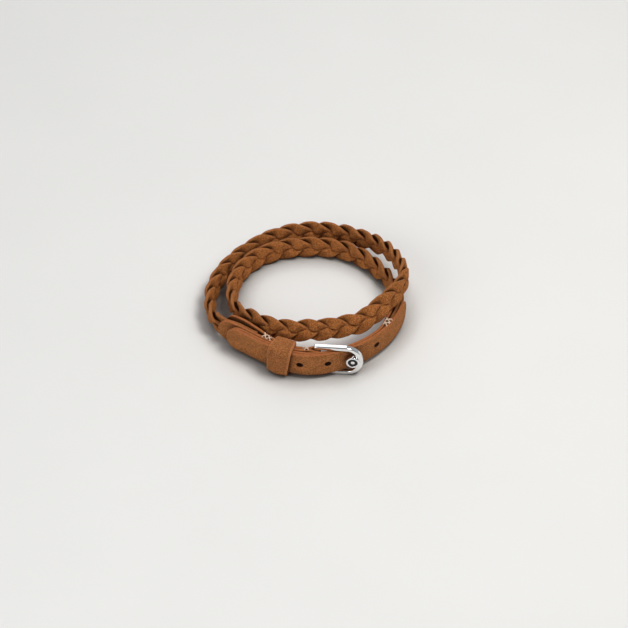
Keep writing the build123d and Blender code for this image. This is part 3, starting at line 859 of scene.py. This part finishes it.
class Nodes:
    """A short way to write a material's node tree."""

    def __init__(self, name):
        self.material = bpy.data.materials.new(name)
        self.material.use_nodes = True
        self.tree = self.material.node_tree
        self.shader = self.tree.nodes["Principled BSDF"]

    def add(self, kind, inputs=None, **settings):
        node = self.tree.nodes.new(kind)
        for key, value in settings.items():
            setattr(node, key, value)
        for key, value in (inputs or {}).items():
            self.set(node, key, value)
        return node

    def set(self, node, key, value):
        """Link an input to a socket, or give it a constant."""
        if isinstance(value, bpy.types.NodeSocket):
            self.tree.links.new(value, node.inputs[key])
        else:
            node.inputs[key].default_value = value

    def shade(self, **values):
        """Set the main shader's inputs; an underscore stands for a space."""
        for key, value in values.items():
            self.set(self.shader, key.replace("_", " "), value)

    def millimetres(self):
        """The piece's own coordinates, in millimetres."""
        place = self.add("ShaderNodeTexCoord")
        scale = self.add("ShaderNodeMapping", {"Vector": place.outputs["Object"],
                                               "Scale": (1000, 1000, 1000)})
        return scale.outputs["Vector"]

    def noise(self, vector, scale, detail=3.0, roughness=0.6):
        node = self.add("ShaderNodeTexNoise", {"Vector": vector, "Scale": scale,
                                               "Detail": detail, "Roughness": roughness})
        return node.outputs["Fac"]

    def remap(self, value, low, high, to_low=0.0, to_high=1.0):
        node = self.add("ShaderNodeMapRange", {"Value": value, "From Min": low, "From Max": high,
                                               "To Min": to_low, "To Max": to_high})
        return node.outputs["Result"]

    def mix(self, factor, a, b):
        """Colour a where factor is 0 and b where it is 1."""
        node = self.add("ShaderNodeMix", {0: factor, 6: a, 7: b}, data_type="RGBA")
        return node.outputs[2]

    def shelter(self, distance):
        """Ambient occlusion: 1 in the open, down to 0 deep in a crease; used for painted shade."""
        node = self.add("ShaderNodeAmbientOcclusion", {"Distance": distance}, samples=8)
        return node.outputs["AO"]

    def bump(self, height, distance, strength=1.0, under=None):
        node = self.add("ShaderNodeBump", {"Height": height, "Distance": distance,
                                           "Strength": strength})
        if under is not None:
            self.tree.links.new(under, node.inputs["Normal"])
        return node.outputs["Normal"]


def tone(color, factor):
    """A colour made lighter or darker."""
    return tuple(min(1.0, c * factor) for c in color[:3]) + (1.0,)


def faded(color, factor):
    """A colour made lighter and a little greyer, as the raised nap of suede is."""
    return tuple(min(1.0, c * factor + 0.02) for c in color[:3]) + (1.0,)


def suede_material(name, color, seed, rub_and_highlight_color, crease):
    """Napped suede: cloudy tone, mottled grain, rubbed edges and painted shade in its creases.

    crease is the distance in metres within which a neighbour paints shade into the leather's
    colour."""
    n = Nodes(name)
    place = n.millimetres()
    moved = n.add("ShaderNodeMapping", {"Vector": place, "Location": (seed * 7.0, seed * 3.0, 0)})
    place = moved.outputs["Vector"]
    cloud = n.remap(n.noise(place, 0.28, 2.0, 0.55), 0.36, 0.64)
    patch = n.remap(n.noise(place, 1.9, 5.0, 0.8), 0.40, 0.60)
    grain = n.remap(n.noise(place, 4.2, 4.0, 0.75), 0.34, 0.66)
    fibre = n.noise(place, 9.0, 4.0, 0.8)
    base = n.mix(cloud, tone(color, 0.86), tone(color, 1.14))
    base = n.mix(n.remap(patch, 0, 0.55, 0.8, 0.0), base, tone(color, 0.42))
    base = n.mix(n.remap(patch, 0.5, 1.0, 0.0, 0.75), base, faded(color, 1.42))
    base = n.mix(n.remap(grain, 0, 0.5, 0.6, 0.0), base, tone(color, 0.45))
    base = n.mix(n.remap(grain, 0.5, 1.0, 0.0, 0.65), base, faded(color, 1.7))
    # Rubbed edges; on the keeper the lighter colour also paints the highlight along its ridges.
    wear_and_highlight = n.add("ShaderNodeAttribute", attribute_name="wear_and_highlight").outputs["Fac"]
    base = n.mix(n.remap(wear_and_highlight, 0.25, 1.0, 0.0, 0.7), base, rub_and_highlight_color)
    # Painted shade: ambient occlusion darkens the colour in creases and between close parts.
    base = n.mix(n.remap(n.shelter(crease), 0.18, 0.95, 0.95, 0.0), base, tone(color, 0.10))
    n.shade(Base_Color=base, Roughness=n.remap(grain, 0, 1, 0.84, 0.97))
    n.shade(Specular_IOR_Level=0.12, Sheen_Weight=0.10, Sheen_Roughness=0.5,
            Sheen_Tint=tone(color, 2.0))
    soft = n.bump(patch, 0.00032, 0.8)
    fine = n.bump(grain, 0.00020, 0.9, soft)
    n.shade(Normal=n.bump(fibre, 0.00008, 0.8, fine))
    return n.material


def edge_material(name, color):
    """Cut leather edge, painted and rubbed smooth, with painted shade in its crevices."""
    n = Nodes(name)
    place = n.millimetres()
    cloud = n.remap(n.noise(place, 0.9, 3.0, 0.6), 0.35, 0.65)
    streak = n.remap(n.noise(place, 4.0, 4.0, 0.7), 0.35, 0.65)
    base = n.mix(cloud, tone(color, 0.8), tone(color, 1.15))
    base = n.mix(n.remap(streak, 0, 1, 0.0, 0.35), base, tone(color, 1.5))
    # Painted shade: ambient occlusion darkens the edge colour in tight crevices.
    base = n.mix(n.remap(n.shelter(0.0012), 0.2, 0.7, 0.7, 0.0), base, tone(color, 0.15))
    n.shade(Base_Color=base, Roughness=n.remap(streak, 0, 1, 0.6, 0.8), Specular_IOR_Level=0.2)
    n.shade(Normal=n.bump(streak, 0.00008, 0.5))
    return n.material


def steel_material():
    """Polished steel with faint wipe marks."""
    n = Nodes("polished_steel")
    place = n.millimetres()
    wipe = n.noise(place, 0.8, 3.0, 0.6)
    base = n.mix(n.remap(wipe, 0.3, 0.7), (0.80, 0.80, 0.80, 1), (0.88, 0.88, 0.87, 1))
    n.shade(Base_Color=base, Metallic=1.0, Roughness=n.remap(wipe, 0.3, 0.7, 0.06, 0.13))
    n.shade(Normal=n.bump(n.noise(place, 2.2, 2.0, 0.5), 0.00001, 0.25))
    return n.material


def enamel_material():
    """Black enamel, poured into the boss."""
    n = Nodes("black_enamel")
    cloud = n.noise(n.millimetres(), 2.0, 2.0, 0.5)
    base = n.mix(cloud, (0.006, 0.006, 0.007, 1), (0.016, 0.016, 0.018, 1))
    n.shade(Base_Color=base, Roughness=n.remap(cloud, 0.3, 0.7, 0.28, 0.4),
            Specular_IOR_Level=0.2)
    return n.material


def thread_material():
    """Waxed pale copper thread."""
    n = Nodes("waxed_thread")
    place = n.millimetres()
    cloud = n.remap(n.noise(place, 2.2, 3.0, 0.6), 0.35, 0.65)
    fibre = n.noise(place, 16.0, 3.0, 0.7)
    base = n.mix(cloud, (0.62, 0.38, 0.24, 1), (0.88, 0.70, 0.54, 1))
    n.shade(Base_Color=base, Roughness=n.remap(fibre, 0.3, 0.7, 0.45, 0.65), Sheen_Weight=0.3,
            Specular_IOR_Level=0.5)
    n.shade(Normal=n.bump(fibre, 0.00004, 0.6))
    return n.material


# ---------------------------------------------------------------- stage

# The camera's place, in metres.
CAMERA_RISE = math.radians(44.3)
CAMERA_AWAY = 1.246
CAMERA_TARGET = ((WRIST[0] + 2.62) * MM, (WRIST[1] - 3.31) * MM, STRAP_BOTTOM * MM)


def build_floor():
    """Plain pale floor, with a painted shadow where the bracelet shelters it."""
    n = Nodes("floor_card")
    paper = n.noise(n.millimetres(), 0.02, 3.0, 0.5)
    base = n.mix(paper, (0.815, 0.81, 0.795, 1), (0.855, 0.85, 0.835, 1))
    # Painted shadow: ambient occlusion darkens the floor's colour round the bracelet.
    base = n.mix(n.remap(n.shelter(0.010), 0.25, 0.9, 0.95, 0.0), base, (0.12, 0.09, 0.07, 1))
    n.shade(Base_Color=base, Roughness=0.9, Specular_IOR_Level=0.1)
    bpy.ops.mesh.primitive_plane_add(size=3.0, location=(0, 0, 0))
    floor = bpy.context.object
    floor.name = "floor"
    floor.data.materials.append(n.material)


def build_world():
    """An even pale studio with one dark wall, which gives polished metal its dark lines."""
    world = bpy.data.worlds.new("studio")
    world.use_nodes = True
    tree = world.node_tree
    way = tree.nodes.new("ShaderNodeTexCoord")
    split = tree.nodes.new("ShaderNodeSeparateXYZ")
    tree.links.new(way.outputs["Generated"], split.inputs[0])
    both = tree.nodes.new("ShaderNodeMath")
    both.operation = "MULTIPLY"
    # The wall stands on the -Y side, above the height of the floor.
    for index, (axis, low, high) in enumerate((("Y", -0.35, -0.6), ("Z", 0.2, 0.4))):
        border = tree.nodes.new("ShaderNodeMapRange")
        border.inputs["From Min"].default_value = low
        border.inputs["From Max"].default_value = high
        tree.links.new(split.outputs[axis], border.inputs["Value"])
        tree.links.new(border.outputs["Result"], both.inputs[index])
    wall = tree.nodes.new("ShaderNodeMix")
    wall.data_type = "RGBA"
    wall.inputs[6].default_value = (0.94, 0.97, 1.0, 1)
    wall.inputs[7].default_value = (0.03, 0.03, 0.03, 1)
    tree.links.new(both.outputs[0], wall.inputs[0])
    tree.links.new(wall.outputs[2], tree.nodes["Background"].inputs["Color"])
    tree.nodes["Background"].inputs["Strength"].default_value = 0.368
    bpy.context.scene.world = world


def build_lights():
    """Three soft lamps that face the bracelet."""
    for name, location, side, power, color in (
            ("key", (0.27, -0.04, 0.67), 0.24, 2.95, (1.0, 0.975, 0.94)),
            ("fill", (-0.34, -0.46, 0.40), 0.40, 1.38, (0.98, 0.99, 1.0)),
            ("back", (-0.1, 0.55, 0.45), 0.42, 0.62, (1.0, 1.0, 1.0))):
        lamp = bpy.data.lights.new(name, "AREA")
        lamp.size = side
        lamp.energy = power
        lamp.color = color
        holder = bpy.data.objects.new(name, lamp)
        bpy.context.scene.collection.objects.link(holder)
        holder.location = location
        aim = Vector((0, 0, 0.01)) - Vector(location)
        holder.rotation_euler = aim.to_track_quat("-Z", "Y").to_euler()


def build_camera():
    """A long lens that looks down on the bracelet from the buckle's side."""
    camera = bpy.data.cameras.new("camera")
    camera.lens = 206.6
    camera.sensor_width = 36.0
    camera.clip_start = 0.05
    holder = bpy.data.objects.new("camera", camera)
    bpy.context.scene.collection.objects.link(holder)
    back = Vector((0, -math.cos(CAMERA_RISE), math.sin(CAMERA_RISE)))
    holder.location = Vector(CAMERA_TARGET) + CAMERA_AWAY * back
    holder.rotation_euler = (math.pi / 2 - CAMERA_RISE, 0, 0)
    bpy.context.scene.camera = holder


# ---------------------------------------------------------------- assembly

SUEDE_COLOR = (0.635, 0.230, 0.072, 1)
BRAID_COLOR = (0.59, 0.205, 0.053, 1)
EDGE_COLOR = (0.345, 0.112, 0.034, 1)
RUBBED_COLOR = (0.56, 0.215, 0.078, 1)
# Reach in metres of the painted shade in creases: broader on the straps, tighter elsewhere.
SMOOTH_CREASE_SHADE = 0.005
TIGHT_CREASE_SHADE = 0.0028

suede = suede_material("strap_suede", SUEDE_COLOR, 1, RUBBED_COLOR, SMOOTH_CREASE_SHADE)
# The keeper's rub colour is lightened to paint the highlight on its ridges.
keeper_suede = suede_material("keeper_suede", tone(SUEDE_COLOR, 0.86), 5,
                               tone(RUBBED_COLOR, 1.4), TIGHT_CREASE_SHADE)
lining = suede_material("lining_suede", tone(SUEDE_COLOR, 0.92), 2, RUBBED_COLOR, TIGHT_CREASE_SHADE)
laces = suede_material("lace_suede", BRAID_COLOR, 3, RUBBED_COLOR, TIGHT_CREASE_SHADE)
edge = edge_material("painted_edge", EDGE_COLOR)
# Painted highlight: the keeper's cut edges get a lighter edge colour, as if catching the light.
keeper_highlight_edge = edge_material("keeper_highlight_edge", tone(RUBBED_COLOR, 0.9))
# Painted shade: near-black hole walls stand in for the shadow inside each punched hole.
hole_shade = edge_material("punched_hole_shade", tone(EDGE_COLOR, 0.08))
steel = steel_material()

build_straps(suede, lining, edge, hole_shade)
build_braid(laces)
build_keeper(keeper_suede, keeper_highlight_edge)
build_frame(steel, enamel_material())
build_tongue(steel)
build_bar(steel)
build_stitches(thread_material())

bpy.context.scene.view_settings.view_transform = "Standard"
build_floor()
build_world()
build_lights()
build_camera()
